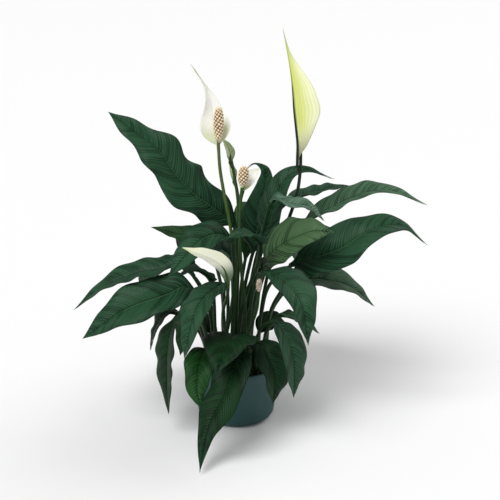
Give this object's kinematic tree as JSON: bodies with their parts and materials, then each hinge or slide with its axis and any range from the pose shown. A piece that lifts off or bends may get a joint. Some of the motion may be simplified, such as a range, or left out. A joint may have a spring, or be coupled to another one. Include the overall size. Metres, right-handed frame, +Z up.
{
  "type": "potted peace lily",
  "caption": "Peace lily in flower in a small round planter: arching lance-shaped leaves on long stems, with hooded white and green flowers held above them.",
  "frame": {"origin": "middle of the planter's flat base, on the surface it stands on", "axes": "+Z up along the planter's axis, -Y towards the viewer, +X to the viewer's right"},
  "size_m": [0.518, 0.4296, 0.568],
  "materials": {
    "planter_teal": "matt dark teal, lightly grained",
    "nursery_black": "thin black plastic",
    "potting_soil": "dark crumbly potting soil",
    "leaf_green": "glossy dark green leaf with fine side veins",
    "stalk_green": "satin green stalk",
    "spathe_white": "white to cream, soft satin",
    "spathe_green": "yellow-green, soft satin",
    "spathe_pale_green": "pale grey-green, soft satin",
    "spadix_cream": "cream, beaded",
    "spadix_faded": "dry, brownish, beaded"
  },
  "bodies": {
    "root": {"planter": "planter_teal", "nursery_pot": "nursery_black", "soil": "potting_soil", "leaf_upper_left": "leaf_green", "leaf_left_small": "leaf_green", "leaf_left_front": "leaf_green", "leaf_left_long": "leaf_green", "leaf_left_low": "leaf_green", "leaf_left_hanging": "leaf_green", "leaf_left_hidden": "leaf_green", "leaf_front_left": "leaf_green", "leaf_front_left_hidden": "leaf_green", "leaf_front_arch": "leaf_green", "leaf_front_long": "leaf_green", "leaf_front_low": "leaf_green", "leaf_front_right": "leaf_green", "leaf_front_right_dark": "leaf_green", "leaf_right_forward": "leaf_green", "leaf_right_small": "leaf_green", "leaf_right_low": "leaf_green", "leaf_right_big": "leaf_green", "leaf_right_striped": "leaf_green", "leaf_right_long": "leaf_green", "leaf_right_far": "leaf_green", "leaf_right_curled": "leaf_green", "leaf_middle_tall": "leaf_green", "leaf_middle_forward": "leaf_green", "leaf_middle_hooked": "leaf_green", "leaf_middle_inner_right": "leaf_green", "leaf_middle_inner_left": "leaf_green", "leaf_back_middle": "leaf_green", "leaf_back_right": "leaf_green", "leaf_back_left": "leaf_green", "leaf_back_right_low": "leaf_green", "leaf_back_upright": "leaf_green", "leaf_back_left_upright": "leaf_green", "leaf_back_right_upright": "leaf_green", "leaf_back_left_low": "leaf_green", "leaf_inner_back_left": "leaf_green", "leaf_inner_back_right": "leaf_green", "flower_tall_white_stalk": "stalk_green", "flower_tall_white_spathe": "spathe_white", "flower_tall_white_spadix": "spadix_cream", "flower_small_white_stalk": "stalk_green", "flower_small_white_spathe": "spathe_white", "flower_small_white_spadix": "spadix_cream", "flower_pale_green_stalk": "stalk_green", "flower_pale_green_spathe": "spathe_pale_green", "flower_pale_green_spadix": "spadix_cream", "flower_bud_stalk": "stalk_green", "flower_bud_spathe": "spathe_pale_green", "flower_left_cream_stalk": "stalk_green", "flower_left_cream_spathe": "spathe_white", "flower_left_cream_spadix": "spadix_cream", "flower_tall_green_stalk": "stalk_green", "flower_tall_green_spathe": "spathe_green", "flower_tall_green_spadix": "spadix_cream", "flower_faded_stalk": "stalk_green", "flower_faded_spadix": "spadix_faded"}
  },
  "joints": []
}
